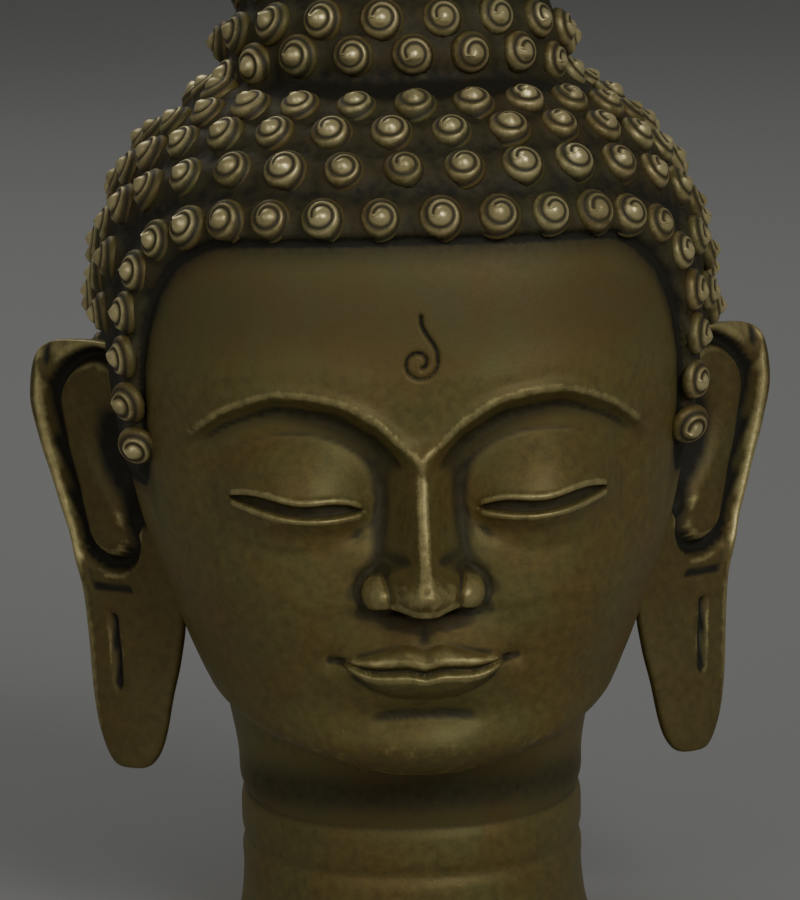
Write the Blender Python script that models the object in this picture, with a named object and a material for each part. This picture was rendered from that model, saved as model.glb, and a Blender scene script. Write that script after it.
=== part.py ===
"""A cast bronze Buddha head on its neck, as one solid: face, long ears, snail-shell curls and topknot.

The head follows the old rule of carvers, which divides the face from chin to hairline into
twelve units. All forms of the head are shares of that unit, in a frame whose x runs across the
head, whose y runs from face to nape and whose height is counted from under the chin.
"""

import math

import bmesh
import bpy
import numpy as np
from mathutils import Matrix, Vector

# driving sizes, in metres
FACE_HEIGHT = 0.106
NECK_HEIGHT = 0.0375
HAIR_THICKNESS = 0.002
CURL_RADIUS = 0.0044
CURL_HEIGHT = 0.0042
CURL_PITCH = 0.0114
EAR_THICKNESS = 0.0040

UNIT = FACE_HEIGHT / 12
BASE = -NECK_HEIGHT / UNIT
BRONZE_COLOUR = (0.16, 0.11, 0.045, 1.0)
BRONZE_ROUGHNESS = 0.42

# the head's level sections: height above the chin, then half width, reach to the face, reach to the nape
HALF_WIDTH = ((1.2, 4.75), (2, 5.1), (3.5, 5.62), (5, 6.02), (6.5, 6.28), (8, 6.5), (9, 6.6))
FACE_REACH = (
    (0, 5.5), (0.3, 6.35), (0.9, 6.75), (1.6, 6.72), (2.6, 6.92),
    (4, 7.08), (6.5, 7.1), (8, 7.3), (9, 7.36),
)
NAPE_REACH = ((0, 4.2), (1.5, 4.6), (3, 5.4), (5, 6.4), (7, 7.0), (9, 7.2))
# the neck's radius by the share of its height
NECK_RADIUS = ((0, 4.03), (0.15, 3.9), (0.4, 3.83), (0.7, 3.83), (0.93, 3.9), (1.2, 4.1))
NECK_FOLDS = (0.52, 0.78)
JAW_ROUNDING = 1.3
JAW_RISE = 0.18
CROWN_START = 9.0
CROWN_TOP = 15.4
CROWN_SQUARENESS = 2.6
TOPKNOT_CENTRE = (0.45, 15.1)
TOPKNOT_RADII = (3.62, 3.45)
# the hair's edge: angle from the front in degrees, height
HAIRLINE = (
    (0, 12.05), (35, 11.98), (45, 11.5), (52, 10.4), (56, 8.6), (58.5, 7.0),
    (62, 6.45), (100, 6.4), (114, 3.5), (128, 1.9), (180, 1.6),
)

# lines of the face: distance from the middle, height
BROW = ((0, 7.2), (0.35, 7.5), (1, 8.1), (2, 8.58), (3, 8.7), (4, 8.42), (4.8, 7.9), (5.6, 7.2))
UPPER_LIP = ((0, 3.13), (0.4, 3.24), (1, 3.08), (1.85, 2.84))
LIP_LINE = ((0, 2.6), (0.45, 2.68), (1, 2.66), (1.85, 2.84))
LOWER_LIP = ((0, 1.98), (0.6, 2.02), (1.2, 2.3), (1.85, 2.84))
# the nose: height, then rise and half width
NOSE_RISE = (
    (3.7, 1.3), (4.1, 1.5), (4.45, 1.72), (4.7, 1.62), (5.2, 1.25),
    (6, 0.82), (6.7, 0.5), (7.3, 0.22), (7.8, 0),
)
NOSE_HALF_WIDTH = ((3.7, 1), (4.4, 1.12), (5, 1.05), (6, 0.9), (6.8, 0.8), (7.3, 0.7), (7.8, 0.5))
EYE_INNER = 1.15
EYE_LENGTH = 3.05
EYE_HEIGHT = 6.12

# the ear: its lowest and highest point, and its edges on the cheek's side and on the outside
EAR_ENDS = (-0.42, 9.15)
EAR_ROOT_X = (
    (-0.45, 5.62), (0, 5.5), (1.2, 5.36), (2, 5.2), (3, 5.08), (4.4, 5.1), (5.7, 5.2), (7.9, 5.4), (9.2, 5.6),
)
EAR_ROOT_Y = ((-0.45, -1.7), (2, -1.7), (5, -1.8), (9, -1.5))
EAR_RIM_X = (
    (-0.45, 6.9), (0.7, 7.08), (1.9, 7.17), (3, 7.26), (4.4, 7.42),
    (5.7, 7.62), (6.9, 7.87), (7.9, 8.07), (9.2, 8.1),
)
EAR_RIM_Y = ((-0.45, -0.7), (2, -0.3), (4.4, 0.4), (6.9, 1.1), (9, 1.4))
LOBE_SQUARENESS, EAR_TOP_SQUARENESS = 4.2, 6.0
EAR_RINGS = 16
EAR_COLUMNS = 12

# rows of curls: height over the face, fall to the nape, first curl as a share of the pitch
CURL_ROWS = (
    (13.4, 2.9, 0.85), (14.12, 2.0, 0.68), (14.62, 1.4, 0.12), (15.66, 1.3, 0.15), (16.42, 0.9, 0.66),
    (17.35, 0.55, 0.3), (18.16, 0.2, 0.0), (15.2, 1.5, 0.5), (12.3, 2.9, 0.3), (11.15, 2.9, 0.8),
    (10.0, 2.9, 0.3), (8.85, 2.9, 0.8), (7.7, 2.9, 0.3), (6.55, 2.9, 0.8), (5.4, 3.0, 0.3),
)
# the rows fall between these angles from the front, in degrees
ROW_FALL = (30, 120)
# the front row runs along the hairline and down before the ear: angle from the front, height
FRONT_ROW = (
    (0, 12.44), (25, 12.42), (35, 12.36), (42, 12.2), (49, 11.9),
    (54, 11.3), (57, 10.5), (57.6, 9.6), (57.9, 8.4), (58.2, 6.9),
)
# its first curl, and how close its curls come at the sides and by what angle, as shares of the pitch
FRONT_ROW_START = 0.42
FRONT_ROW_SIDES = (0.77, 45)
# beside an ear, curls stand above this height or behind this depth
CURLS_ABOVE_EAR = 9.75
CURLS_BEHIND_EAR = 1.2
CURL_SIDES = 5
CURL_TOP_SHARE = 0.5
CLOSEST_CURLS = 0.73
CURL_SUNK_SHARE = 0.35

# the bust is modelled finely, most so over the face and its features, then reduced to this many triangles
FACE_ZONE = (-38, 36, 62)
FEATURES_ZONE = (-22, 19, 46)
BUST_TRIANGLES = 1430

# rays that reach the surface: latitude on the sphere, height of the ray's start, slope in degrees
RAYS = (
    (-90, 0.6 * BASE, -90), (-80, 0.6 * BASE, -50), (-70, 1.2 * BASE, 0), (-52, 0.4 * BASE, 0),
    (-40, 2.8, -38), (-34, 4.25, -42), (-28, 5.3, -40), (-20, 5.95, -30), (-10, 6.4, -18), (0, 6.85, -6),
    (10, 7.2, 5.5), (20, 7.5, 16), (30, 7.9, 27), (40, 8.2, 38), (50, 8.65, 49), (58, 9.3, 57),
    (64, 11.6, 50), (72, 13.6, 50), (80, 14.8, 65), (90, 15.2, 90),
)
# latitude, depth of the ray's start
RAY_DEPTHS = ((-40, 0), (-20, -0.2), (50, -0.2), (64, TOPKNOT_CENTRE[0]))
RAY_REACH = 2 * HALF_WIDTH[-1][1]
RAY_STEP = 0.4
CUT_MARGIN = 1.2


def ramp(low, high, value):
    """0 below low, 1 above high, and a smooth rise between."""
    share = np.clip((value - low) / (high - low), 0.0, 1.0)
    return share * share * (3.0 - 2.0 * share)


def bell(value, centre, width):
    return np.exp(-(((value - centre) / width) ** 2))


def dome(*shares):
    """1 at the middle of an ellipse and 0 on its edge and outside."""
    return np.clip(1 - sum(share**2 for share in shares), 0, 1)


def line(points, at):
    """A smooth line through (place, value) points that doesn't overshoot them."""
    place, value = np.array(points, float).T
    gap = np.diff(place)
    slope = np.diff(value) / gap
    tangent = np.concatenate([slope[:1], np.zeros(len(gap) - 1), slope[-1:]])
    for i in range(1, len(gap)):
        if slope[i - 1] * slope[i] > 0:
            before, after = 2 * gap[i] + gap[i - 1], gap[i] + 2 * gap[i - 1]
            tangent[i] = (before + after) / (before / slope[i - 1] + after / slope[i])
    at = np.clip(at, place[0], place[-1])
    i = np.clip(np.searchsorted(place, at) - 1, 0, len(gap) - 1)
    t = (at - place[i]) / gap[i]
    ends = value[i] * (1 + 2 * t) * (1 - t) ** 2 + value[i + 1] * t**2 * (3 - 2 * t)
    return ends + gap[i] * (tangent[i] * t * (1 - t) ** 2 - tangent[i + 1] * t**2 * (1 - t))


def blend_min(a, b, width):
    """The lower of two fields, with a fillet where they meet."""
    share = np.clip(0.5 + 0.5 * (b - a) / width, 0.0, 1.0)
    return b * (1 - share) + a * share - width * share * (1 - share)


def skull_field(x, y, height):
    """Below 0 inside the head, without its face: level sections that close at the chin and the crown."""
    jaw = height - JAW_RISE * np.clip(y + 6, 0, 9) * (1 - ramp(3, 8, height))
    under = np.clip(1 - jaw / JAW_ROUNDING, 0, 1)
    chin = np.sqrt(np.clip(1 - under**2, 1e-6, 1))
    rise = np.clip((height - CROWN_START) / (CROWN_TOP - CROWN_START), 0, 0.9999)
    crown = (1 - rise**CROWN_SQUARENESS) ** (1 / CROWN_SQUARENESS)
    half_width = line(HALF_WIDTH, jaw) * chin * crown
    reach = np.where(y < 0, line(FACE_REACH, jaw), line(NAPE_REACH, jaw)) * crown
    power = np.where(y < 0, 2.4, 2.15)
    size = ((np.abs(x) / half_width) ** power + (np.abs(y) / reach) ** power) ** (1 / power)
    out = np.hypot(x, y)
    field = out * (1 - 1 / np.maximum(size, 1e-4))
    beyond = (jaw <= 0) | (height >= CROWN_TOP)
    return np.where(beyond, np.maximum(out, 0.3), field)


def neck_field(x, y, height):
    """The neck's column with its two folds, which droop under the chin."""
    share = (height - BASE) / -BASE
    out = np.hypot(x, y)
    front = np.clip(-y / np.maximum(out, 1e-3), -1, 1)
    folds = 0
    for place in NECK_FOLDS:
        off = share - place + 0.13 * ramp(-0.5, 1, front)
        folds = folds + 0.05 * bell(np.abs(off), 0.075, 0.06) - 0.1 * bell(off, 0, 0.024)
    column = out - line(NECK_RADIUS, share) - folds * ramp(-0.9, 0.2, front)
    return np.maximum(column, height - 4)


def topknot_field(x, y, height):
    y0, height0 = TOPKNOT_CENTRE
    level, upright = TOPKNOT_RADII
    size = np.sqrt((x / level) ** 2 + ((y - y0) / level) ** 2 + ((height - height0) / upright) ** 2)
    return (size - 1) * upright


def eye_relief(side, height):
    """A lowered eye: its ball under the brow, the two lids' edges and the slit between them."""
    along = np.clip((side - EYE_INNER) / EYE_LENGTH, 0, 1)
    chord = EYE_HEIGHT + 0.27 * along
    upper = chord + 0.13 * np.sin(np.pi * along) + 0.07 * np.sin(3 * np.pi * along)
    lower = chord - 0.21 * np.sin(np.pi * along)
    inside = ramp(EYE_INNER - 0.05, EYE_INNER + 0.3, side) * (1 - ramp(3.95, 4.25, side))
    slit = ramp(-0.03, 0.05, upper - height) * ramp(-0.03, 0.05, height - lower)
    lids = 0.075 * bell(height, upper + 0.09, 0.085) + 0.065 * bell(height, lower - 0.075, 0.075)
    ball = 0.55 * dome((side - 2.7) / 1.75, (height - 6.5) / 1.2) ** 0.8
    return ball + inside * (lids - 0.2 * slit - 0.1 * bell(height, lower - 0.42, 0.22))


def brow_relief(side, height):
    """A raised line that springs from the nose, with the forehead above it and the socket below."""
    slope = np.interp(side, (0, 0.3, 1, 2, 3, 4, 5), (1, 0.95, 0.7, 0.3, 0, -0.4, -0.7))
    above = (height - line(BROW, side)) / np.sqrt(1 + slope**2)
    fade = 1 - ramp(4.3, 5.5, side)
    ridge = 0.13 * bell(above, 0.02, 0.17) + 0.1 * bell(above, 0.35, 0.55) * ramp(0.2, 1.5, side)
    socket = 0.5 * ramp(0, 1, side) * (1 - 0.55 * ramp(1, 4.5, side))
    return fade * (ridge - socket * ramp(0.02, 0.42, -above) * (1 - ramp(0.9, 3, -above)))


def nose_relief(side, height):
    """A straight narrow bridge, a rounded tip and two wings, cut off level below."""
    across = np.clip((side - 0.1) / (line(NOSE_HALF_WIDTH, height) - 0.1), 0, 1)
    tip = 1 - ramp(4.6, 5.2, height)
    section = (1 - tip) * (1 - across) ** 1.35 + tip * (1 - across**1.7) ** 1.15
    wing = 0.92 * np.sqrt(dome((side - 0.88) / 0.46, (height - 4.38) / 0.46))
    nose = -blend_min(-line(NOSE_RISE, height) * section, -wing, 0.12)
    underside = 3.88 + 0.1 * ramp(0.2, 0.7, side) - 0.04 * ramp(0.8, 1.3, side)
    from_wing = np.hypot(side - 0.88, height - 4.38)
    crease = 0.07 * bell(from_wing, 0.56, 0.1) * ramp(4.1, 4.5, height) * ramp(0.5, 0.9, side)
    nostril = 0.22 * bell(side, 0.46, 0.2) * bell(height, 3.98, 0.09)
    return nose * ramp(-0.02, 0.16, height - underside) - crease - nostril


def mouth_relief(side, height):
    """Two closed lips on a soft rise, the hollow above them, and the fold and ball of the chin."""
    top, middle, bottom = line(UPPER_LIP, side), line(LIP_LINE, side), line(LOWER_LIP, side)
    up = np.clip((height - middle) / np.maximum(top - middle, 0.02), 0, 1)
    down = np.clip((middle - height) / np.maximum(middle - bottom, 0.02), 0, 1)
    lips = np.where(height > middle, 0.24 * (1 - up**2.2) ** 0.6, 0.3 * (1 - down**2.4) ** 0.6)
    relief = lips * (1 - ramp(1.55, 1.9, side)) + 0.3 * dome(side / 2.5, (height - 2.7) / 1.5) ** 1.5
    relief = relief - 0.2 * bell(height, middle, 0.085) * (1 - ramp(1.7, 2, side))
    relief = relief - 0.12 * bell(side, 1.98, 0.2) * bell(height, 2.86, 0.2)
    relief = relief - 0.09 * bell(side, 0, 0.2) * ramp(3.15, 3.35, height) * (1 - ramp(3.75, 3.95, height))
    relief = relief - 0.16 * bell(height, 1.62, 0.26) * (1 - ramp(0.6, 1.6, side))
    return relief + 0.22 * dome(side / 1.5, (height - 0.85) / 0.95) ** 1.5


def face_relief(x, height):
    """How far the face stands out of the skull, over the whole front."""
    side = np.abs(x)
    cheeks = 0.18 * dome((side - 3.3) / 1.9, (height - 4.3) / 1.9) ** 1.5
    brow_and_eye = brow_relief(side, height) + eye_relief(side, height)
    return brow_and_eye + nose_relief(side, height) + mouth_relief(side, height) + cheeks


def hair_cover(x, y, height):
    """1 under the cap of hair and 0 on bare skin, with a step at the hairline."""
    turn = np.degrees(np.arctan2(np.abs(x), -y))
    slope = np.degrees(line(HAIRLINE, turn + 1.5) - line(HAIRLINE, turn - 1.5)) / 3
    above = (height - line(HAIRLINE, turn)) / np.sqrt(1 + (slope / np.maximum(np.hypot(x, y), 1)) ** 2)
    return ramp(-0.09, 0.09, above)


def bust_field(points):
    """Below 0 inside the whole bust without ears and curls, above 0 outside. Points are in face units."""
    x, y, height = points.T
    front = ramp(0.8, 3, -y) * ramp(-0.6, 0.3, height)
    head = skull_field(x, y, height) - face_relief(x, height) * front
    body = blend_min(head, neck_field(x, y, height), 0.5)
    body = blend_min(body, topknot_field(x, y, height), 0.3)
    body = body - HAIR_THICKNESS / UNIT * hair_cover(x, y, height)
    return np.maximum(body, BASE - CUT_MARGIN - height)


def reach_surface(start, ray):
    """Where each ray, from inside the bust, first comes out of it."""
    inside = np.full(len(ray), 0.05)
    outside = np.full(len(ray), np.nan)
    for reach in np.arange(RAY_STEP, RAY_REACH, RAY_STEP):
        out = np.isnan(outside) & (bust_field(start + ray * reach) > 0)
        outside[out] = reach
        inside[np.isnan(outside)] = reach
    for _ in range(14):
        middle = (inside + outside) / 2
        out = bust_field(start + ray * middle[:, None]) > 0
        outside = np.where(out, middle, outside)
        inside = np.where(out, inside, middle)
    return start + ray * ((inside + outside) / 2)[:, None]


def bust_points(directions):
    """The surface point for each direction on the unit sphere, by rays that fan out of the head's axis."""
    latitude = np.degrees(np.arcsin(np.clip(directions[:, 2], -1, 1)))
    stations, heights, slopes = np.array(RAYS, float).T
    slope = np.radians(np.interp(latitude, stations, slopes))
    level = directions[:, :2] / np.maximum(np.hypot(directions[:, 0], directions[:, 1]), 1e-9)[:, None]
    ray = np.column_stack([level * np.cos(slope)[:, None], np.sin(slope)])
    depth = np.interp(latitude, *np.array(RAY_DEPTHS).T)
    start = np.column_stack([np.zeros(len(ray)), depth, np.interp(latitude, stations, heights)])
    return reach_surface(start, ray)


def to_metres(point):
    return Vector((point[0] * UNIT, point[1] * UNIT, (point[2] - BASE) * UNIT))


def refine(mesh, zone):
    """Splits the sphere's faces into four over a part of the front: lowest, highest and widest angle."""
    lowest, highest, widest = zone
    chosen = []
    for edge in mesh.edges:
        middle = (edge.verts[0].co + edge.verts[1].co).normalized()
        latitude = math.degrees(math.asin(middle.z))
        turn = math.degrees(math.atan2(abs(middle.x), -middle.y))
        if lowest < latitude < highest and turn < widest:
            chosen.append(edge)
    bmesh.ops.subdivide_edges(mesh, edges=chosen, cuts=1, use_grid_fill=True)
    bmesh.ops.triangulate(mesh, faces=[face for face in mesh.faces if len(face.verts) > 3])
    for vertex in mesh.verts:
        vertex.co.normalize()


def object_of(name, mesh, collection):
    data = bpy.data.meshes.new(name)
    mesh.to_mesh(data)
    mesh.free()
    made = bpy.data.objects.new(name, data)
    collection.objects.link(made)
    return made


def make_bust(collection):
    """The head and neck, a sphere whose points are moved onto the bust's surface."""
    mesh = bmesh.new()
    bmesh.ops.create_icosphere(mesh, subdivisions=5, radius=1)
    refine(mesh, FACE_ZONE)
    refine(mesh, FEATURES_ZONE)
    directions = np.array([vertex.co for vertex in mesh.verts])
    for vertex, point in zip(mesh.verts, bust_points(directions)):
        vertex.co = to_metres(point)
    bust = object_of("buddha_head", mesh, collection)
    fewer = bust.modifiers.new("fewer_triangles", "DECIMATE")
    fewer.ratio = BUST_TRIANGLES / len(bust.data.polygons)
    return bust


def ear_relief(from_rim, height):
    """The ear's carving by the distance from its outer edge: rim, groove, tongue, hollow, lobe and slit."""
    rim_width = 0.22 + 0.24 * ramp(4.4, 8.6, height)
    rim = 0.2 * (1 - ramp(rim_width, rim_width + 0.22, from_rim)) * ramp(3.2, 4.4, height)
    share = np.clip((7.6 - height) / 2.75, 0, 1)
    across, along = from_rim - (1.95 - 0.85 * share), height - (7.6 - 2.75 * share)
    from_tongue = np.hypot(across, along) - (1.1 - 0.55 * share)
    groove = 0.36 * bell(from_tongue, 0.16, 0.16)
    tongue = 0.1 * ramp(0, 0.4, -from_tongue)
    hollow = 0.45 * dome((from_rim - 2.3) / 0.9, (height - 6.4) / 1.6)
    slit = 0.24 * bell(from_rim, 0.86, 0.08) * ramp(1.25, 1.6, height) * (1 - ramp(2.9, 3.1, height))
    crease = 0.09 * bell(height, 3.6, 0.1) * ramp(0.3, 0.6, from_rim) * (1 - ramp(1.3, 1.7, from_rim))
    return rim + tongue - groove - hollow - slit - crease


def ear_points(directions, side):
    """Moves points of the unit sphere onto the ear: its poles are the ear's ends and its rings cross it."""
    lowest, highest = EAR_ENDS
    share = directions[:, 2]
    height = (lowest + highest) / 2 + share * (highest - lowest) / 2
    root = np.column_stack([line(EAR_ROOT_X, height), line(EAR_ROOT_Y, height)])
    rim = np.column_stack([line(EAR_RIM_X, height), line(EAR_RIM_Y, height)])
    half = np.linalg.norm(rim - root, axis=1) / 2
    across = (rim - root) / (2 * half[:, None])
    outward = np.column_stack([across[:, 1], -across[:, 0]])
    ring = np.hypot(directions[:, 0], directions[:, 1])
    turn = np.arctan2(directions[:, 1], directions[:, 0])
    square = np.where(share < 0, LOBE_SQUARENESS, EAR_TOP_SQUARENESS)
    end = np.where(ring < 1e-6, 0, (1 - np.abs(np.clip(share, -1, 1)) ** square) ** (1 / square))
    place = np.sign(np.cos(turn)) * np.abs(np.cos(turn)) ** 0.85 * end
    depth = np.sign(np.sin(turn)) * np.abs(np.sin(turn)) ** 0.65 * end**0.6
    thick = EAR_THICKNESS / UNIT / 2 * (1 + 0.25 * ramp(3, 6, height))
    lift = depth * thick + 0.35 * ramp(0, 1, place) * ramp(2, 6, height)
    face = ramp(0.1, 0.7, depth)
    lift = lift + face * ear_relief((1 - place) * half, height)
    points = (root + rim) / 2 + across * (place * half)[:, None] + outward * lift[:, None]
    return np.column_stack([points[:, 0] * side, points[:, 1], height])


def make_ear(name, side, collection):
    """One long ear, a sphere of rings across the ear's length. Side is 1 or -1."""
    mesh = bmesh.new()
    bmesh.ops.create_uvsphere(mesh, u_segments=EAR_COLUMNS, v_segments=EAR_RINGS, radius=1)
    directions = np.array([vertex.co for vertex in mesh.verts])
    for vertex, point in zip(mesh.verts, ear_points(directions, side)):
        vertex.co = to_metres(point)
    bmesh.ops.recalc_face_normals(mesh, faces=mesh.faces)
    return object_of(name, mesh, collection)


def front_row_points(turn):
    """Points of the front row at these angles from the front."""
    height = line(FRONT_ROW, np.abs(turn))
    angle = np.radians(turn)
    level = np.column_stack([np.sin(angle), -np.cos(angle), np.zeros(len(angle))])
    return reach_surface(np.column_stack([np.zeros((len(angle), 2)), height]), level)


def run_along(points):
    """The distance along a line of points, at each of them."""
    return np.concatenate([[0], np.cumsum(np.linalg.norm(np.diff(points, axis=0), axis=1))])


def front_row_places(pitch):
    """Curls along the hairline, both ways from near the middle, in steps that shorten to the sides."""
    turn = np.linspace(0, FRONT_ROW[-1][0], 400)
    closest, by = FRONT_ROW_SIDES
    curl = np.cumsum(np.diff(run_along(front_row_points(turn))) / (1 - (1 - closest) * ramp(0, by, turn[1:])))
    left = np.interp(np.arange(FRONT_ROW_START * pitch, curl[-1], pitch), curl, turn[1:])
    right = np.interp(np.arange((1 - FRONT_ROW_START) * pitch, curl[-1], pitch), curl, turn[1:])
    return front_row_points(np.concatenate([left, -right]))


def ring_places(row_height, fall, first, pitch):
    """Curls at even steps round the head, in a ring that is level over the face and falls to the nape."""
    turn = np.linspace(0, 2 * np.pi, 361)
    from_front = np.degrees(np.minimum(turn, 2 * np.pi - turn))
    height = row_height - fall * ramp(*ROW_FALL, from_front)
    level = np.column_stack([np.sin(turn), -np.cos(turn), np.zeros(len(turn))])
    start = np.column_stack([np.zeros(len(turn)), np.full(len(turn), TOPKNOT_CENTRE[0]), height])
    points = reach_surface(start, level)
    run = run_along(points)
    count = max(1, round(run[-1] / pitch))
    steps = (np.arange(count) + first) * run[-1] / count
    return np.column_stack([np.interp(steps, run, points[:, axis]) for axis in range(3)])


def has_room(point, taken, apart):
    """Whether a curl may stand here: on hair, clear of the ear, and away from the curls before it."""
    x, y, height = point
    on_hair = hair_cover(np.array([x]), np.array([y]), np.array([height - CURL_RADIUS / UNIT]))[0] > 0.5
    clear_of_ear = height > CURLS_ABOVE_EAR or y > CURLS_BEHIND_EAR
    return on_hair and clear_of_ear and all(np.linalg.norm(point - other) > apart for other in taken)


def curl_places():
    """The middle of every curl on the hair's surface: the front row first, then ring by ring."""
    pitch = CURL_PITCH / UNIT
    places = list(front_row_places(pitch))
    for row_height, fall, first in CURL_ROWS:
        for point in ring_places(row_height, fall, first, pitch):
            if has_room(point, places, CLOSEST_CURLS * pitch):
                places.append(point)
    top = reach_surface(np.array([(0, *TOPKNOT_CENTRE)]), np.array([(0, 0, 1)]))
    return np.concatenate([places, top])


def surface_normals(points):
    step = 0.25
    sides = [
        bust_field(points + step * np.eye(3)[axis]) - bust_field(points - step * np.eye(3)[axis])
        for axis in range(3)
    ]
    normals = np.column_stack(sides)
    return normals / np.linalg.norm(normals, axis=1)[:, None]


def make_curls(collection):
    """Every snail-shell curl as a tapered stud that is sunk a little into the hair."""
    mesh = bmesh.new()
    places = curl_places()
    sunk = CURL_SUNK_SHARE * CURL_HEIGHT
    for point, normal in zip(places, surface_normals(places)):
        outward = Vector(normal)
        middle = to_metres(point) + outward * (CURL_HEIGHT - sunk) / 2
        turn = outward.to_track_quat("Z", "Y").to_matrix().to_4x4()
        bmesh.ops.create_cone(
            mesh,
            cap_ends=True,
            cap_tris=False,
            segments=CURL_SIDES,
            radius1=CURL_RADIUS,
            radius2=CURL_TOP_SHARE * CURL_RADIUS,
            depth=CURL_HEIGHT + sunk,
            matrix=Matrix.Translation(middle) @ turn,
        )
    return object_of("curls", mesh, collection)


def bronze_material():
    material = bpy.data.materials.new("aged_bronze")
    material.use_nodes = True
    shader = material.node_tree.nodes["Principled BSDF"]
    shader.inputs["Base Color"].default_value = BRONZE_COLOUR
    shader.inputs["Metallic"].default_value = 1.0
    shader.inputs["Roughness"].default_value = BRONZE_ROUGHNESS
    return material


def make_base_cutter(collection):
    """A block under the neck, whose top is the level plane that the head stands on."""
    size = 2 * NECK_RADIUS[0][1] * UNIT
    depth = 2 * CUT_MARGIN * UNIT
    mesh = bmesh.new()
    bmesh.ops.create_cube(mesh, size=1)
    bmesh.ops.scale(mesh, vec=(1.5 * size, 1.5 * size, depth), verts=mesh.verts)
    bmesh.ops.translate(mesh, vec=(0, 0, -depth / 2), verts=mesh.verts)
    return object_of("base_cut", mesh, collection)


def boolean(body, piece, operation):
    """Joins a piece to the casting or cuts it out, and hides the piece."""
    piece.hide_render = True
    piece.display_type = "WIRE"
    step = body.modifiers.new(piece.name, "BOOLEAN")
    step.operation = operation
    step.object = piece


def main():
    for old in list(bpy.data.objects):
        bpy.data.objects.remove(old)
    casting = bpy.data.collections.new("bronze_buddha_head")
    joined = bpy.data.collections.new("forms_joined_to_the_casting")
    bpy.context.scene.collection.children.link(casting)
    bpy.context.scene.collection.children.link(joined)
    head = make_bust(casting)
    head.data.materials.append(bronze_material())
    head.data.shade_smooth()
    boolean(head, make_base_cutter(joined), "DIFFERENCE")
    boolean(head, make_ear("right_ear", -1, joined), "UNION")
    boolean(head, make_ear("left_ear", 1, joined), "UNION")
    boolean(head, make_curls(joined), "UNION")


main()
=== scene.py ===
"""The looks of a cast bronze Buddha head: worked skin, long ears, snail-shell curls and a rubbed patina."""

import math

import bmesh
import bpy
import numpy as np
from mathutils import Matrix, Vector


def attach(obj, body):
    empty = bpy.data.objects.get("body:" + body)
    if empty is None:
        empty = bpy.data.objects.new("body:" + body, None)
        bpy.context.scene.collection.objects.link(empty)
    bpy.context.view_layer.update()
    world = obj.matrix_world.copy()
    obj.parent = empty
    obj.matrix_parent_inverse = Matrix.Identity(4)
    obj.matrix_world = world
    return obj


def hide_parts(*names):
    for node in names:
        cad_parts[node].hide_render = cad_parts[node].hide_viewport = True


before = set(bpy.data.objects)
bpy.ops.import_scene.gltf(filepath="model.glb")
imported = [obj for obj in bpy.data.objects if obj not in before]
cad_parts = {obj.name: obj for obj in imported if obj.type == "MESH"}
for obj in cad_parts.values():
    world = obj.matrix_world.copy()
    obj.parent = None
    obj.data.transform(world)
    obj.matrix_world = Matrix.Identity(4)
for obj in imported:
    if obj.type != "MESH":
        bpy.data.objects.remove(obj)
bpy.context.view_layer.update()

# Head and neck: the body of the casting, hollow in the real one and here its outer skin. Face and hair
# were modelled in wax on the carvers' canon of twelve parts from chin to hairline, cast, chased and
# patinated. Forms are shares of that part: x across, y from face to nape, height above the chin.
UNIT = 0.106 / 12
NECK_HEIGHT = 0.0375
BASE = -NECK_HEIGHT / UNIT
HAIR_THICKNESS = 0.002 / UNIT

# the head's level sections: height, then half width, reach to the face, reach to the nape
HALF_WIDTH = ((1.2, 4.75), (2, 5.1), (3.5, 5.62), (5, 6.02), (6.5, 6.28), (8, 6.5), (9, 6.6))
FACE_REACH = (
    (0, 5.5), (0.3, 6.35), (0.9, 6.75), (1.6, 6.72), (2.6, 6.92),
    (4, 7.08), (6.5, 7.1), (8, 7.3), (9, 7.36),
)
NAPE_REACH = ((0, 4.2), (1.5, 4.6), (3, 5.4), (5, 6.4), (7, 7.0), (9, 7.2))
NECK_RADIUS = ((0, 4.03), (0.15, 3.9), (0.4, 3.83), (0.7, 3.83), (0.93, 3.9), (1.2, 4.1))
NECK_FOLDS = (0.52, 0.78)
JAW_ROUNDING = 1.3
JAW_RISE = 0.18
CROWN_START = 9.0
CROWN_TOP = 15.4
CROWN_SQUARENESS = 2.6
TOPKNOT_CENTRE = (0.45, 15.1)
TOPKNOT_RADII = (3.62, 3.45)
# the hair's edge: angle from the front in degrees, height
HAIRLINE = (
    (0, 12.05), (35, 11.98), (45, 11.5), (52, 10.4), (56, 8.6), (58.5, 7.0),
    (62, 6.45), (100, 6.4), (114, 3.5), (128, 1.9), (180, 1.6),
)
# lines of the face: distance from the middle, height
BROW = ((0, 7.2), (0.35, 7.5), (1, 8.1), (2, 8.58), (3, 8.7), (4, 8.42), (4.8, 7.9), (5.6, 7.2))
UPPER_LIP = ((0, 3.13), (0.4, 3.24), (1, 3.08), (1.85, 2.84))
LIP_LINE = ((0, 2.6), (0.45, 2.68), (1, 2.66), (1.85, 2.84))
LOWER_LIP = ((0, 1.98), (0.6, 2.02), (1.2, 2.3), (1.85, 2.84))
NOSE_RISE = (
    (3.7, 1.3), (4.1, 1.5), (4.45, 1.72), (4.7, 1.62), (5.2, 1.25),
    (6, 0.82), (6.7, 0.5), (7.3, 0.22), (7.8, 0),
)
NOSE_HALF_WIDTH = ((3.7, 1), (4.4, 1.12), (5, 1.05), (6, 0.9), (6.8, 0.8), (7.3, 0.7), (7.8, 0.5))
EYE_INNER, EYE_LENGTH, EYE_HEIGHT = 1.15, 3.05, 6.12
# the chased mark on the forehead: a curl that opens to the right and rises into a tail
MARK_HEIGHT = 9.35
MARK_RADIUS, MARK_TAIL = 0.4, 1.0
MARK_DEPTH, MARK_WIDTH = 0.085, 0.045

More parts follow.
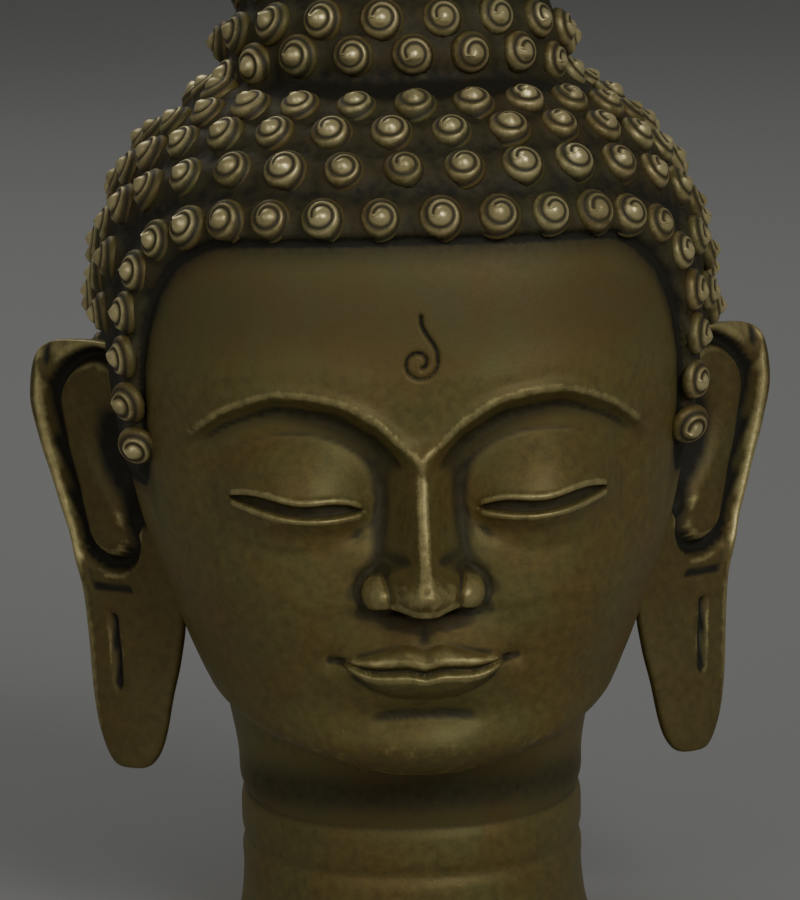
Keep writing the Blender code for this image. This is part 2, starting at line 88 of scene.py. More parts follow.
# the mesh's widest step: on plain skin and hair, over the features, and along fine lines
PLAIN_STEP, HAIR_STEP, FEATURE_STEP, LINE_STEP = 0.36, 0.25, 0.13, 0.055
MESH_ROUNDS = 5
# rays that reach the surface: latitude on the sphere, height of the ray's start, slope in degrees
RAYS = (
    (-90, 0.6 * BASE, -90), (-80, 0.6 * BASE, -50), (-70, 1.2 * BASE, 0), (-52, 0.4 * BASE, 0),
    (-40, 2.8, -38), (-34, 4.25, -42), (-28, 5.3, -40), (-20, 5.95, -30), (-10, 6.4, -18), (0, 6.85, -6),
    (10, 7.2, 5.5), (20, 7.5, 16), (30, 7.9, 27), (40, 8.2, 38), (50, 8.65, 49), (58, 9.3, 57),
    (64, 11.6, 50), (72, 13.6, 50), (80, 14.8, 65), (90, 15.2, 90),
)
RAY_DEPTHS = ((-40, 0), (-20, -0.2), (50, -0.2), (64, TOPKNOT_CENTRE[0]))
RAY_REACH, RAY_STEP = 13.0, 0.4
CUT_MARGIN = 1.2


def ramp(low, high, value):
    """0 below low, 1 above high, and a smooth rise between."""
    share = np.clip((value - low) / (high - low), 0.0, 1.0)
    return share * share * (3.0 - 2.0 * share)


def bell(value, centre, width):
    return np.exp(-(((value - centre) / width) ** 2))


def dome(*shares):
    """1 at the middle of an ellipse and 0 on its edge and outside."""
    return np.clip(1 - sum(share**2 for share in shares), 0, 1)


def line(points, at):
    """A smooth line through (place, value) points that doesn't overshoot them."""
    place, value = np.array(points, float).T
    gap = np.diff(place)
    slope = np.diff(value) / gap
    tangent = np.concatenate([slope[:1], np.zeros(len(gap) - 1), slope[-1:]])
    for i in range(1, len(gap)):
        if slope[i - 1] * slope[i] > 0:
            before, after = 2 * gap[i] + gap[i - 1], gap[i] + 2 * gap[i - 1]
            tangent[i] = (before + after) / (before / slope[i - 1] + after / slope[i])
    at = np.clip(at, place[0], place[-1])
    i = np.clip(np.searchsorted(place, at) - 1, 0, len(gap) - 1)
    t = (at - place[i]) / gap[i]
    ends = value[i] * (1 + 2 * t) * (1 - t) ** 2 + value[i + 1] * t**2 * (3 - 2 * t)
    return ends + gap[i] * (tangent[i] * t * (1 - t) ** 2 - tangent[i + 1] * t**2 * (1 - t))


def blend_min(a, b, width):
    """The lower of two fields, with a fillet where they meet."""
    share = np.clip(0.5 + 0.5 * (b - a) / width, 0.0, 1.0)
    return b * (1 - share) + a * share - width * share * (1 - share)


def skull_field(x, y, height):
    """Below 0 inside the head, without its face: level sections that close at the chin and the crown."""
    jaw = height - JAW_RISE * np.clip(y + 6, 0, 9) * (1 - ramp(3, 8, height))
    under = np.clip(1 - jaw / JAW_ROUNDING, 0, 1)
    chin = np.sqrt(np.clip(1 - under**2, 1e-6, 1))
    rise = np.clip((height - CROWN_START) / (CROWN_TOP - CROWN_START), 0, 0.9999)
    crown = (1 - rise**CROWN_SQUARENESS) ** (1 / CROWN_SQUARENESS)
    half_width = line(HALF_WIDTH, jaw) * chin * crown
    reach = np.where(y < 0, line(FACE_REACH, jaw), line(NAPE_REACH, jaw)) * crown
    power = np.where(y < 0, 2.4, 2.15)
    size = ((np.abs(x) / half_width) ** power + (np.abs(y) / reach) ** power) ** (1 / power)
    out = np.hypot(x, y)
    field = out * (1 - 1 / np.maximum(size, 1e-4))
    beyond = (jaw <= 0) | (height >= CROWN_TOP)
    return np.where(beyond, np.maximum(out, 0.3), field)


def neck_field(x, y, height):
    """The neck's column with its two folds, which droop under the chin."""
    share = (height - BASE) / -BASE
    out = np.hypot(x, y)
    front = np.clip(-y / np.maximum(out, 1e-3), -1, 1)
    folds = 0
    for place in NECK_FOLDS:
        off = share - place + 0.13 * ramp(-0.5, 1, front)
        folds = folds + 0.035 * bell(np.abs(off), 0.08, 0.065) - 0.05 * bell(off, 0, 0.034)
    column = out - line(NECK_RADIUS, share) - folds * ramp(-0.9, 0.2, front)
    return np.maximum(column, height - 4)


def topknot_field(x, y, height):
    y0, height0 = TOPKNOT_CENTRE
    level, upright = TOPKNOT_RADII
    size = np.sqrt((x / level) ** 2 + ((y - y0) / level) ** 2 + ((height - height0) / upright) ** 2)
    return (size - 1) * upright


def eye_relief(side, height):
    """A lowered eye: its ball under the brow, the two lids' edges and the slit between them."""
    along = np.clip((side - EYE_INNER) / EYE_LENGTH, 0, 1)
    chord = EYE_HEIGHT + 0.27 * along
    upper = chord + 0.13 * np.sin(np.pi * along) + 0.07 * np.sin(3 * np.pi * along)
    lower = chord - 0.21 * np.sin(np.pi * along)
    inside = ramp(EYE_INNER - 0.05, EYE_INNER + 0.3, side) * (1 - ramp(3.95, 4.25, side))
    slit = ramp(-0.03, 0.05, upper - height) * ramp(-0.03, 0.05, height - lower)
    lids = 0.075 * bell(height, upper + 0.09, 0.085) + 0.065 * bell(height, lower - 0.075, 0.075)
    ball = 0.62 * dome((side - 2.7) / 1.85, (height - 6.5) / 1.3) ** 1.25
    return ball + inside * (lids - 0.2 * slit - 0.1 * bell(height, lower - 0.42, 0.22))


def brow_relief(side, height):
    """A raised line that springs from the nose, with the forehead above it and the socket below."""
    slope = np.interp(side, (0, 0.3, 1, 2, 3, 4, 5), (1, 0.95, 0.7, 0.3, 0, -0.4, -0.7))
    above = (height - line(BROW, side)) / np.sqrt(1 + slope**2)
    fade = 1 - ramp(4.3, 5.5, side)
    ridge = 0.13 * bell(above, 0.02, 0.17) + 0.1 * bell(above, 0.35, 0.55) * ramp(0.2, 1.5, side)
    socket = 0.5 * ramp(0, 1, side) * (1 - 0.55 * ramp(1, 4.5, side))
    return fade * (ridge - socket * ramp(0.02, 0.42, -above) * (1 - ramp(0.9, 3, -above)))


def nose_relief(side, height):
    """A straight narrow bridge, a rounded tip and two wings, cut off level below."""
    across = np.clip((side - 0.1) / (line(NOSE_HALF_WIDTH, height) - 0.1), 0, 1)
    tip = 1 - ramp(4.6, 5.2, height)
    section = (1 - tip) * (1 - across) ** 1.35 + tip * (1 - across**1.7) ** 1.15
    wing = 0.92 * np.sqrt(dome((side - 0.88) / 0.46, (height - 4.38) / 0.46))
    nose = -blend_min(-line(NOSE_RISE, height) * section, -wing, 0.12)
    underside = 3.88 + 0.1 * ramp(0.2, 0.7, side) - 0.04 * ramp(0.8, 1.3, side)
    from_wing = np.hypot(side - 0.88, height - 4.38)
    crease = 0.07 * bell(from_wing, 0.56, 0.1) * ramp(4.1, 4.5, height) * ramp(0.5, 0.9, side)
    nostril = 0.22 * bell(side, 0.46, 0.2) * bell(height, 3.98, 0.09)
    return nose * ramp(-0.02, 0.16, height - underside) - crease - nostril


def mouth_relief(side, height):
    """Two closed lips on a soft rise, the hollow above them, and the fold and ball of the chin."""
    top, middle, bottom = line(UPPER_LIP, side), line(LIP_LINE, side), line(LOWER_LIP, side)
    up = np.clip((height - middle) / np.maximum(top - middle, 0.02), 0, 1)
    down = np.clip((middle - height) / np.maximum(middle - bottom, 0.02), 0, 1)
    lips = np.where(height > middle, 0.24 * (1 - up**3), 0.3 * (1 - down**2.6))
    relief = lips * (1 - ramp(1.5, 1.9, side)) + 0.3 * dome(side / 2.5, (height - 2.7) / 1.5) ** 1.5
    relief = relief - 0.2 * bell(height, middle, 0.085) * (1 - ramp(1.7, 2, side))
    relief = relief - 0.12 * bell(side, 1.98, 0.2) * bell(height, 2.86, 0.2)
    relief = relief - 0.09 * bell(side, 0, 0.2) * ramp(3.15, 3.35, height) * (1 - ramp(3.75, 3.95, height))
    relief = relief - 0.16 * bell(height, 1.62, 0.26) * (1 - ramp(0.6, 1.6, side))
    return relief + 0.22 * dome(side / 1.5, (height - 0.85) / 0.95) ** 1.5


def mark_line():
    """Points along the forehead's chased curl, from its middle to the tail's end."""
    along = np.linspace(0, 1, 40)
    turn = np.radians(-60 + 420 * along)
    radius = MARK_RADIUS * (0.3 + 0.7 * along)
    loop = np.column_stack([radius * np.cos(turn), radius * np.sin(turn)])
    tail = np.column_stack([MARK_RADIUS * (1 - 0.85 * ramp(0.15, 0.9, along)), MARK_TAIL * along])
    return np.concatenate([loop, tail]) + (0, MARK_HEIGHT)


def from_mark(x, height):
    """The distance from the chased curl's line."""
    near = (np.abs(x) < 1.2) & (np.abs(height - MARK_HEIGHT - MARK_TAIL / 2) < 1.6)
    place = np.column_stack([x[near], height[near]])
    apart = np.full(len(x), 9.0)
    apart[near] = np.linalg.norm(place[:, None] - mark_line(), axis=2).min(axis=1)
    return apart


def face_relief(x, height):
    """How far the face stands out of the skull, over the whole front."""
    side = np.abs(x)
    cheeks = 0.18 * dome((side - 3.3) / 1.9, (height - 4.3) / 1.9) ** 1.5
    brow_and_eye = brow_relief(side, height) + eye_relief(side, height)
    features = brow_and_eye + nose_relief(side, height) + mouth_relief(side, height)
    return features + cheeks - MARK_DEPTH * bell(from_mark(x, height), 0, MARK_WIDTH)


def above_hairline(x, y, height):
    """The distance above the hair's edge, below 0 on bare skin."""
    turn = np.degrees(np.arctan2(np.abs(x), -y))
    slope = np.degrees(line(HAIRLINE, turn + 1.5) - line(HAIRLINE, turn - 1.5)) / 3
    return (height - line(HAIRLINE, turn)) / np.sqrt(1 + (slope / np.maximum(np.hypot(x, y), 1)) ** 2)


def hair_cover(x, y, height):
    """1 under the cap of hair and 0 on bare skin, with a step at the hairline."""
    return ramp(-0.09, 0.09, above_hairline(x, y, height))


def bust_field(points):
    """Below 0 inside the bust without ears and curls, above 0 outside. Points are in face units."""
    x, y, height = points.T
    front = ramp(0.8, 3, -y) * ramp(-0.6, 0.3, height)
    head = skull_field(x, y, height) - face_relief(x, height) * front
    body = blend_min(head, neck_field(x, y, height), 0.5)
    body = blend_min(body, topknot_field(x, y, height), 0.3)
    body = body - HAIR_THICKNESS * hair_cover(x, y, height)
    return np.maximum(body, BASE - CUT_MARGIN - height)


def reach_surface(start, ray):
    """Where each ray, from inside the bust, first comes out of it."""
    inside = np.full(len(ray), 0.05)
    outside = np.full(len(ray), np.nan)
    for reach in np.arange(RAY_STEP, RAY_REACH, RAY_STEP):
        left = np.flatnonzero(np.isnan(outside))
        out = bust_field(start[left] + ray[left] * reach) > 0
        outside[left[out]] = reach
        inside[left[~out]] = reach
    for _ in range(14):
        middle = (inside + outside) / 2
        out = bust_field(start + ray * middle[:, None]) > 0
        outside = np.where(out, middle, outside)
        inside = np.where(out, inside, middle)
    return start + ray * ((inside + outside) / 2)[:, None]


def bust_points(directions):
    """The surface point for each direction on the unit sphere, by rays that fan out of the head's axis."""
    latitude = np.degrees(np.arcsin(np.clip(directions[:, 2], -1, 1)))
    stations, heights, slopes = np.array(RAYS, float).T
    slope = np.radians(np.interp(latitude, stations, slopes))
    level = directions[:, :2] / np.maximum(np.hypot(directions[:, 0], directions[:, 1]), 1e-9)[:, None]
    ray = np.column_stack([level * np.cos(slope)[:, None], np.sin(slope)])
    depth = np.interp(latitude, *np.array(RAY_DEPTHS).T)
    start = np.column_stack([np.zeros(len(ray)), depth, np.interp(latitude, stations, heights)])
    return reach_surface(start, ray)


def surface_normals(points, step=0.25):
    sides = [
        bust_field(points + step * np.eye(3)[axis]) - bust_field(points - step * np.eye(3)[axis])
        for axis in range(3)
    ]
    normals = np.column_stack(sides)
    return normals / np.maximum(np.linalg.norm(normals, axis=1), 1e-9)[:, None]


def to_metres(points):
    return (np.asarray(points) - (0, 0, BASE)) * UNIT


def to_units(points):
    return np.asarray(points) / UNIT + (0, 0, BASE)


def widest_step(points):
    """The mesh's widest step at each point: short along lids, lips, nose, folds and chased lines."""
    x, y, height = points.T
    side = np.abs(x)
    front = y < -2.5
    step = np.full(len(points), PLAIN_STEP)
    hair_edge = above_hairline(x, y, height)
    step[hair_edge > 0] = HAIR_STEP
    share = (height - BASE) / -BASE + 0.13 * ramp(-0.5, 1, -y / np.maximum(np.hypot(x, y), 1e-3))
    fold = np.min([np.abs(share - place) for place in NECK_FOLDS], axis=0)
    features = front & (side < 4.9) & (height > 0.9) & (height < 9.2)
    step[features | (np.abs(hair_edge) < 0.22) | ((fold < 0.06) & (y < 1))] = FEATURE_STEP
    eye = (side > 0.9) & (side < 4.4) & (np.abs(height - EYE_HEIGHT - 0.1) < 0.5)
    mouth = (side < 2.2) & (height > 1.9) & (height < 3.4)
    nose = (side < 1.5) & (height > 3.6) & (height < 4.9)
    step[front & (eye | mouth | nose | (from_mark(x, height) < 0.14))] = LINE_STEP
    return step


def refine(mesh, points):
    """Splits every edge of the sphere that is longer than the step allowed where it comes to lie."""
    edges = list(mesh.edges)
    ends = np.array([[vertex.index for vertex in edge.verts] for edge in edges])
    length = np.linalg.norm(points[ends[:, 0]] - points[ends[:, 1]], axis=1)
    longest = np.min(widest_step(points)[ends], axis=1)
    chosen = [edges[i] for i in np.flatnonzero(length > longest)]
    bmesh.ops.subdivide_edges(mesh, edges=chosen, cuts=1, use_grid_fill=True)
    bmesh.ops.triangulate(mesh, faces=[face for face in mesh.faces if len(face.verts) > 3])
    mesh.verts.index_update()
    for vertex in mesh.verts:
        vertex.co.normalize()


def vertex_places(mesh):
    return np.array([vertex.co for vertex in mesh.verts])


def place_vertices(mesh, places):
    for vertex, place in zip(mesh.verts, places):
        vertex.co = place


def face_outwards(mesh):
    """Turns a closed mesh's faces outwards. A thin hollowed form can come out of the first step reversed."""
    bmesh.ops.recalc_face_normals(mesh, faces=mesh.faces)
    if mesh.calc_volume(signed=True) < 0:
        bmesh.ops.reverse_faces(mesh, faces=mesh.faces)


def finished_piece(name, mesh, material, masks):
    """Makes a piece of the casting from a mesh, with its masks for wear, dark patina and painted light and
    shade, and puts it in the part.
    """
    data = bpy.data.meshes.new(name)
    mesh.to_mesh(data)
    mesh.free()
    data.shade_smooth()
    data.materials.append(material)
    for mask, values in masks.items():
        data.attributes.new(mask, "FLOAT", "POINT").data.foreach_set("value", np.asarray(values, np.float32))
    piece = bpy.data.objects.new(name, data)
    bpy.context.scene.collection.objects.link(piece)
    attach(piece, "root")
    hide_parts("buddha_head")
    return piece


# where the curls stand: rows by height at the head's middle, fall towards the nape and first curl
CURL_RADIUS = 0.0044 / UNIT
CURL_PITCH = 0.0114 / UNIT
CLOSEST_CURLS = 0.73
CURL_ROWS = (
    (13.4, 2.9, 0.85), (14.12, 2.0, 0.68), (14.62, 1.4, 0.12), (15.66, 1.3, 0.15), (16.42, 0.9, 0.66),
    (17.35, 0.55, 0.3), (18.16, 0.2, 0.0), (15.2, 1.5, 0.5), (12.3, 2.9, 0.3), (11.15, 2.9, 0.8),
    (10.0, 2.9, 0.3), (8.85, 2.9, 0.8), (7.7, 2.9, 0.3), (6.55, 2.9, 0.8), (5.4, 3.0, 0.3),
)
# the rows fall between these angles from the front, in degrees
ROW_FALL = (30, 120)
# the front row runs along the hairline and down before the ear: angle from the front, height
FRONT_ROW = (
    (0, 12.44), (25, 12.42), (35, 12.36), (42, 12.2), (49, 11.9),
    (54, 11.3), (57, 10.5), (57.6, 9.6), (57.9, 8.4), (58.2, 6.9),
)
# its first curl, and how close its curls come at the sides and by what angle, as shares of the pitch
FRONT_ROW_START = 0.42
FRONT_ROW_SIDES = (0.77, 45)
CURLS_ABOVE_EAR = 9.75
CURLS_BEHIND_EAR = 1.2


def front_row_points(turn):
    """Points of the front row at these angles from the front."""
    height = line(FRONT_ROW, np.abs(turn))
    angle = np.radians(turn)
    level = np.column_stack([np.sin(angle), -np.cos(angle), np.zeros(len(angle))])
    return reach_surface(np.column_stack([np.zeros((len(angle), 2)), height]), level)


def run_along(points):
    """The distance along a line of points, at each of them."""
    return np.concatenate([[0], np.cumsum(np.linalg.norm(np.diff(points, axis=0), axis=1))])


def front_row_places():
    """Curls along the hairline, both ways from near the middle, in steps that shorten to the sides."""
    turn = np.linspace(0, FRONT_ROW[-1][0], 400)
    closest, by = FRONT_ROW_SIDES
    curl = np.cumsum(np.diff(run_along(front_row_points(turn))) / (1 - (1 - closest) * ramp(0, by, turn[1:])))
    left = np.interp(np.arange(FRONT_ROW_START * CURL_PITCH, curl[-1], CURL_PITCH), curl, turn[1:])
    right = np.interp(np.arange((1 - FRONT_ROW_START) * CURL_PITCH, curl[-1], CURL_PITCH), curl, turn[1:])
    return front_row_points(np.concatenate([left, -right]))


def ring_places(row_height, fall, first):
    """Curls at even steps round the head, in a ring that is level over the face and falls to the nape."""
    turn = np.linspace(0, 2 * np.pi, 361)
    from_front = np.degrees(np.minimum(turn, 2 * np.pi - turn))
    height = row_height - fall * ramp(*ROW_FALL, from_front)
    level = np.column_stack([np.sin(turn), -np.cos(turn), np.zeros(len(turn))])
    start = np.column_stack([np.zeros(len(turn)), np.full(len(turn), TOPKNOT_CENTRE[0]), height])
    points = reach_surface(start, level)
    run = run_along(points)
    count = max(1, round(run[-1] / CURL_PITCH))
    steps = (np.arange(count) + first) * run[-1] / count
    return np.column_stack([np.interp(steps, run, points[:, axis]) for axis in range(3)])


def has_room(point, taken):
    """Whether a curl may stand here: on hair, clear of the ear, and away from the curls before it."""
    x, y, height = point
    on_hair = hair_cover(np.array([x]), np.array([y]), np.array([height - CURL_RADIUS]))[0] > 0.5
    clear_of_ear = height > CURLS_ABOVE_EAR or y > CURLS_BEHIND_EAR
    apart = CLOSEST_CURLS * CURL_PITCH
    return on_hair and clear_of_ear and all(np.linalg.norm(point - other) > apart for other in taken)


def curl_places():
    """The middle of every curl on the hair's surface, with the slope of its row."""
    places = list(front_row_places())
    for row_height, fall, first in CURL_ROWS:
        for point in ring_places(row_height, fall, first):
            if has_room(point, places):
                places.append(point)
    top = reach_surface(np.array([(0, *TOPKNOT_CENTRE)]), np.array([(0, 0, 1)]))
    return np.concatenate([places, top])


curls = curl_places()
curl_normals = surface_normals(curls)

# the hair between the curls rises under each of them and sinks between the rows
PAD_ALONG, PAD_ACROSS = 0.0072 / UNIT, 0.0046 / UNIT
PAD_RISE, VALLEY_DEPTH = 0.0015 / UNIT, 0.0012 / UNIT
ROW_SLOPE = 0.23


def pad_cover(points):
    """1 on a curl's pad and 0 in the valleys between the rows."""
    row_up = np.array((0, ROW_SLOPE, 1.0))
    along = np.cross(curl_normals, row_up)
    along = along / np.maximum(np.linalg.norm(along, axis=1), 0.05)[:, None]
    across = np.cross(along, curl_normals)
    cover = np.zeros(len(points))
    for start in range(0, len(points), 4000):
        off = points[start : start + 4000, None] - curls
        run = (np.einsum("ijk,jk->ij", off, along) / PAD_ALONG) ** 2
        rise = (np.einsum("ijk,jk->ij", off, across) / PAD_ACROSS) ** 2
        deep = (np.einsum("ijk,jk->ij", off, curl_normals) / PAD_ALONG) ** 2
        cover[start : start + 4000] = np.exp(-(run + rise + deep)).max(axis=1)
    return cover


def hair_and_pads(points):
    """For each point its share of hair, and on hair its share of a curl's pad."""
    on_hair = hair_cover(*points.T)
    pads = np.zeros(len(points))
    pads[on_hair > 0.01] = pad_cover(points[on_hair > 0.01])
    return on_hair, pads


# how far from a point its surroundings are felt for wear, in face units
NEAR_REACH, WIDE_REACH = 0.2, 0.55
SKIN_WEAR, SKIN_DIRT = 0.5, 0.7
WIDE_WEAR, WIDE_DIRT = 0.35, 0.8
# the skin darkens towards the hairline this far, partly patina and partly painted shade; the cheeks carry a
# painted highlight at this place and size
HAIRLINE_SHADE, HAIRLINE_PATINA_AND_SHADE = 0.75, 0.52
CHEEK_PAINTED_HIGHLIGHT, CHEEK_PLACE, CHEEK_SIZE = 0.12, (3.2, 4.4), (2.9, 3.2)
# painted shade: darker bands over the forehead, as if under the hair, and under the jaw, where the chin's
# shadow falls: how much, at what height, how wide
FOREHEAD_PAINTED_SHADE, FOREHEAD_HEIGHT, FOREHEAD_BAND = 0.33, 10.6, 1.7
JAW_PAINTED_SHADOW, JAW_HEIGHT, JAW_BAND = 0.68, -0.75, 0.62
# the hair is dark in its valleys and a little cleaner on the curls' pads
VALLEY_DIRT, PAD_POLISH = 0.92, 0.42


def standing_out(points, normals, reach):
    """Above 0 on ridges and below 0 in hollows: the mean of the field round each point, by the reach."""
    first = np.cross(normals, (0.31, 0.17, 0.94))
    first = first / np.maximum(np.linalg.norm(first, axis=1), 1e-6)[:, None]
    second = np.cross(normals, first)
    total = 0
    for turn in np.radians((0, 45, 90, 135, 180, 225, 270, 315)):
        total = total + bust_field(points + reach * (math.cos(turn) * first + math.sin(turn) * second))
    return total / 8 / reach


# Bronze finishes: a brown patina that has clouded to olive, worn through to gold where hands and cloth reach
# it and near black where they don't. The same gold is painted on the cheeks as a highlight, and the same dark
# as painted shade over the forehead and under the chin, and partly along the hairline.
def aged_bronze_group():
    """The patina as a shader group: colour, roughness, metal and the height of the skin's fine grain."""
    group = bpy.data.node_groups.new("aged_bronze", "ShaderNodeTree")
    add, link = group.nodes.new, group.links.new

    def socket(name, kind, direction, value=None):
        made = group.interface.new_socket(name, in_out=direction, socket_type=kind)
        if value is not None:
            made.default_value = value

    for name, colour in (
        ("Brown", (0.262, 0.186, 0.057, 1)),
        ("Olive", (0.238, 0.206, 0.066, 1)),
        ("Gold", (0.80, 0.68, 0.30, 1)),
        ("Dark", (0.030, 0.027, 0.016, 1)),
    ):
        socket(name, "NodeSocketColor", "INPUT", colour)
    socket("Wear And Highlight", "NodeSocketFloat", "INPUT", 0.0)
    socket("Recess And Shade", "NodeSocketFloat", "INPUT", 0.0)
    socket("Cloud Size", "NodeSocketFloat", "INPUT", 0.016)
    socket("Color", "NodeSocketColor", "OUTPUT")
    socket("Roughness", "NodeSocketFloat", "OUTPUT")
    socket("Metallic", "NodeSocketFloat", "OUTPUT")
    socket("Height", "NodeSocketFloat", "OUTPUT")
    given, put_out = add("NodeGroupInput"), add("NodeGroupOutput")
    place = add("ShaderNodeTexCoord").outputs["Object"]

    def math_node(operation, first, second=None, clamp=False):
        node = add("ShaderNodeMath")
        node.operation = operation
        node.use_clamp = clamp
        for number, value in enumerate((first, second)):
            if isinstance(value, (int, float)):
                node.inputs[number].default_value = value
            elif value is not None:
                link(value, node.inputs[number])
        return node.outputs["Value"]

    def noise(scale, detail, roughness, distortion=0.0):
        node = add("ShaderNodeTexNoise")
        link(place, node.inputs["Vector"])
        if isinstance(scale, (int, float)):
            node.inputs["Scale"].default_value = scale
        else:
            link(scale, node.inputs["Scale"])
        node.inputs["Detail"].default_value = detail
        node.inputs["Roughness"].default_value = roughness
        node.inputs["Distortion"].default_value = distortion
        return node.outputs["Fac"]

    def spread(value, low, high):
        node = add("ShaderNodeMapRange")
        link(value, node.inputs["Value"])
        node.inputs["From Min"].default_value = low
        node.inputs["From Max"].default_value = high
        return node.outputs["Result"]

    def mix(share, first, second, blend="MIX"):
        node = add("ShaderNodeMix")
        node.data_type = "RGBA"
        node.blend_type = blend
        for name, value in (("Factor", share), ("A", first), ("B", second)):
            target = [s for s in node.inputs if s.name == name and s.enabled][0]
            if isinstance(value, (int, float, tuple)):
                target.default_value = value
            else:
                link(value, target)
        return [s for s in node.outputs if s.enabled][0]

    cloud_scale = math_node("DIVIDE", 1.0, given.outputs["Cloud Size"])
    clouds = spread(noise(cloud_scale, 3, 0.55, 0.6), 0.38, 0.64)
    mottle = noise(520, 4, 0.6)
    grain = noise(2600, 3, 0.6)
    skin = mix(clouds, given.outputs["Brown"], given.outputs["Olive"])
    uneven = math_node("SUBTRACT", mottle, 0.5)
    shade = spread(mottle, 0.3, 0.7)
    skin = mix(math_node("MULTIPLY", math_node("SUBTRACT", 1.0, shade), 0.35), skin, given.outputs["Dark"])
    # the recess mask mixes in the dark: patina in hollows, and painted shade under the chin, over the
    # forehead and by the hairline
    darkening = math_node("ADD", given.outputs["Recess And Shade"], math_node("MULTIPLY", uneven, 0.5))
    skin = mix(spread(darkening, 0.15, 0.85), skin, given.outputs["Dark"])
    # the rubbed mask wears through to gold, and on the cheeks paints a highlight
    worn_and_lit = math_node("ADD", given.outputs["Wear And Highlight"], math_node("MULTIPLY", uneven, 0.7))
    clean = math_node("SUBTRACT", 1.0, given.outputs["Recess And Shade"], True)
    worn_and_lit = math_node("MULTIPLY", spread(worn_and_lit, 0.25, 0.95), clean, True)
    colour = mix(worn_and_lit, skin, given.outputs["Gold"])
    link(colour, put_out.inputs["Color"])
    rough = math_node("ADD", 0.48, math_node("MULTIPLY", uneven, 0.25))
    rough = math_node("SUBTRACT", rough, math_node("MULTIPLY", worn_and_lit, 0.16))
    rough = math_node("ADD", rough, math_node("MULTIPLY", given.outputs["Recess And Shade"], 0.2), True)
    link(rough, put_out.inputs["Roughness"])
    metal = math_node("ADD", 0.32, math_node("MULTIPLY", worn_and_lit, 0.45))
    metal = math_node("SUBTRACT", metal, math_node("MULTIPLY", given.outputs["Recess And Shade"], 0.45), True)
    link(metal, put_out.inputs["Metallic"])
    link(math_node("ADD", grain, math_node("MULTIPLY", mottle, 1.6)), put_out.inputs["Height"])
    return group


aged_bronze = aged_bronze_group()


def bronze(name, grain, sheen, **colours):
    """A bronze material whose wear, dark patina and painted light and shade follow the piece's own masks."""
    material = bpy.data.materials.new(name)
    material.use_nodes = True
    tree = material.node_tree
    shader = tree.nodes["Principled BSDF"]
    finish = tree.nodes.new("ShaderNodeGroup")
    finish.node_tree = aged_bronze
    for socket, colour in colours.items():
        finish.inputs[socket].default_value = (*colour, 1)
    for socket, mask in (("Wear And Highlight", "wear_and_highlight"), ("Recess And Shade", "recess_and_shade")):
        reader = tree.nodes.new("ShaderNodeAttribute")
        reader.attribute_name = mask
        tree.links.new(reader.outputs["Fac"], finish.inputs[socket])
    bump = tree.nodes.new("ShaderNodeBump")
    bump.inputs["Strength"].default_value = grain
    bump.inputs["Distance"].default_value = 0.0001
    tree.links.new(finish.outputs["Color"], shader.inputs["Base Color"])
    tree.links.new(finish.outputs["Roughness"], shader.inputs["Roughness"])
    tree.links.new(finish.outputs["Metallic"], shader.inputs["Metallic"])
    tree.links.new(finish.outputs["Height"], bump.inputs["Height"])
    tree.links.new(bump.outputs["Normal"], shader.inputs["Normal"])
    shader.inputs["Specular IOR Level"].default_value = sheen
    return material


skin_bronze = bronze("skin_bronze", 0.5, 0.32)

skin = bmesh.new()
bmesh.ops.create_icosphere(skin, subdivisions=6, radius=1)
points = bust_points(vertex_places(skin))
for _ in range(MESH_ROUNDS):
    refine(skin, points)
    points = np.concatenate([points, bust_points(vertex_places(skin)[len(points) :])])
on_hair, pads = hair_and_pads(points)
lift = on_hair * (PAD_RISE * pads - VALLEY_DEPTH * (1 - pads))
points = points + lift[:, None] * surface_normals(points)
place_vertices(skin, to_metres(points))
whole = list(skin.verts) + list(skin.edges) + list(skin.faces)
bmesh.ops.bisect_plane(skin, geom=whole, plane_co=(0, 0, 0), plane_no=(0, 0, -1), clear_outer=True)
rim = [edge for edge in skin.edges if edge.is_boundary]
bmesh.ops.holes_fill(skin, edges=rim)
face_outwards(skin)

points = to_units(vertex_places(skin))
normals = surface_normals(points, 0.05)
on_hair, pads = hair_and_pads(points)
close = standing_out(points, normals, NEAR_REACH)
wide = standing_out(points, normals, WIDE_REACH)
bare = 1 - on_hair
wear_and_highlight = bare * SKIN_WEAR * np.clip(ramp(0.06, 0.42, close) + WIDE_WEAR * ramp(0.07, 0.4, wide), 0, 1)
side, forward, height = np.abs(points[:, 0]), -points[:, 1], points[:, 2]
cheek = dome((side - CHEEK_PLACE[0]) / CHEEK_SIZE[0], (height - CHEEK_PLACE[1]) / CHEEK_SIZE[1])
# painted highlight: a lighter, more golden patch on the cheeks
wear_and_highlight = wear_and_highlight + CHEEK_PAINTED_HIGHLIGHT * (forward > 0) * cheek
recess_and_shade = bare * SKIN_DIRT * np.clip(ramp(0.05, 0.35, -close) + WIDE_DIRT * ramp(0.06, 0.35, -wide), 0, 1)
# darker skin towards the hairline: partly patina, partly painted shade under the hair's edge
by_hair = ramp(-HAIRLINE_SHADE, 0, above_hairline(*points.T))
recess_and_shade = recess_and_shade + bare * by_hair * HAIRLINE_PATINA_AND_SHADE
# painted shade: a darker band over the forehead, as if under the hair
recess_and_shade = recess_and_shade + bare * FOREHEAD_PAINTED_SHADE * bell(height, FOREHEAD_HEIGHT, FOREHEAD_BAND) * (forward > 0)
